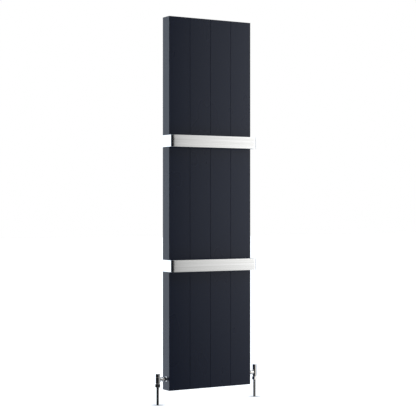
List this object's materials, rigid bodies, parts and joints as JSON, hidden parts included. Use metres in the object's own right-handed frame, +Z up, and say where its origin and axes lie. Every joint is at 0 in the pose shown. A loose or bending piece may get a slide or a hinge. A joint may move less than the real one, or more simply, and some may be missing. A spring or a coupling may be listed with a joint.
{
  "type": "vertical panel radiator",
  "caption": "Tall flat-fronted wall radiator with vertical sections, bent steel towel rails and angled valves on floor pipes.",
  "frame": {"origin": "on the wall plane, at the centre of the wall fixings: mid-width and half-way up the body", "axes": "+Z up, +Y into the wall, +X to the right seen from the front, so the front faces -Y"},
  "size_m": [0.5778, 0.137, 1.868],
  "materials": {
    "powder_coat": "anthracite powder coat on extruded aluminium, fine satin texture",
    "rail_steel": "polished stainless strip with a fine lengthwise grain",
    "zinc_steel": "bright zinc plate",
    "screw_steel": "stainless, as headed",
    "chrome": "bright chrome plate on brass",
    "copper_pipe": "bright chrome plate on copper",
    "brass": "turned brass",
    "saddle_nylon": "moulded black nylon",
    "rubber": "moulded black rubber"
  },
  "bodies": {
    "radiator": {"bracket_saddle_lower_left": "saddle_nylon", "bracket_saddle_lower_right": "saddle_nylon", "bracket_saddle_upper_left": "saddle_nylon", "bracket_saddle_upper_right": "saddle_nylon", "clinch_nuts": "zinc_steel", "compression_nut_left": "chrome", "compression_nut_right": "chrome", "cross_rail_lower": "zinc_steel", "cross_rail_screws": "screw_steel", "cross_rail_upper": "zinc_steel", "header_bottom": "powder_coat", "header_bush_bottom_left": "powder_coat", "header_bush_bottom_right": "powder_coat", "header_bush_top_right": "powder_coat", "header_end_cap": "powder_coat", "header_top": "powder_coat", "headwork_left": "brass", "headwork_right": "brass", "olive_left": "brass", "olive_right": "brass", "pipe_left": "copper_pipe", "pipe_right": "copper_pipe", "rail_pads_lower": "rubber", "rail_pads_upper": "rubber", "section_1": "powder_coat", "section_2": "powder_coat", "section_3": "powder_coat", "section_4": "powder_coat", "spindle_seal_left": "rubber", "spindle_seal_right": "rubber", "top_grille": "powder_coat", "towel_rail_lower": "rail_steel", "towel_rail_screws": "screw_steel", "towel_rail_upper": "rail_steel", "union_nut_left": "chrome", "union_nut_right": "chrome", "valve_body_left": "chrome", "valve_body_right": "chrome", "valve_tail_left": "chrome", "valve_tail_right": "chrome", "vent_gasket": "rubber", "vent_plug": "chrome", "wall_bracket_lower_left": "zinc_steel", "wall_bracket_lower_right": "zinc_steel", "wall_bracket_upper_left": "zinc_steel", "wall_bracket_upper_right": "zinc_steel"},
    "handwheel": {"handwheel": "chrome", "handwheel_cap": "chrome", "handwheel_screw": "screw_steel", "spindle_right": "brass"},
    "plunger_right": {"plunger_right": "brass", "plunger_washer_right": "rubber"},
    "lockshield_spindle": {"spindle_left": "brass"},
    "plunger_left": {"plunger_left": "brass", "plunger_washer_left": "rubber"},
    "lockshield_cap": {"lockshield_cap": "chrome"},
    "bleed_seal": {"bleed_seal": "rubber"},
    "bleed_screw": {"bleed_screw": "brass"}
  },
  "joints": [
    {"name": "handwheel_turn", "type": "hinge", "parent": "radiator", "child": "handwheel", "pos_m": [0.275, -0.0625, -0.846], "axis": [0, 0, 1], "range_deg": [0, 720]},
    {"name": "plunger_lift_right", "type": "slide", "parent": "radiator", "child": "plunger_right", "axis": [0, 0, 1], "range_m": [0, 0.003]},
    {"name": "lockshield_turn", "type": "hinge", "parent": "radiator", "child": "lockshield_spindle", "pos_m": [-0.275, -0.0625, -0.846], "axis": [0, 0, 1], "range_deg": [0, 720]},
    {"name": "plunger_lift_left", "type": "slide", "parent": "radiator", "child": "plunger_left", "axis": [0, 0, 1], "range_m": [0, 0.003]},
    {"name": "lockshield_cap_pull", "type": "slide", "parent": "radiator", "child": "lockshield_cap", "axis": [0, 0, 1], "range_m": [0, 0.02]},
    {"name": "bleed_travel", "type": "slide", "parent": "radiator", "child": "bleed_seal", "axis": [1, 0, 0], "range_m": [0, 0.0015]},
    {"name": "bleed_turn", "type": "hinge", "parent": "bleed_seal", "child": "bleed_screw", "pos_m": [0.2275, -0.0625, 0.846], "axis": [1, 0, 0], "range_deg": [0, 540]}
  ],
  "couplings": [
    {"joint": "plunger_lift_right", "follows": "handwheel_turn", "m_per_rad": 0.00023873},
    {"joint": "lockshield_turn", "follows": "plunger_lift_left", "rad_per_m": 4188.8},
    {"joint": "bleed_turn", "follows": "bleed_travel", "rad_per_m": 6283.2}
  ]
}
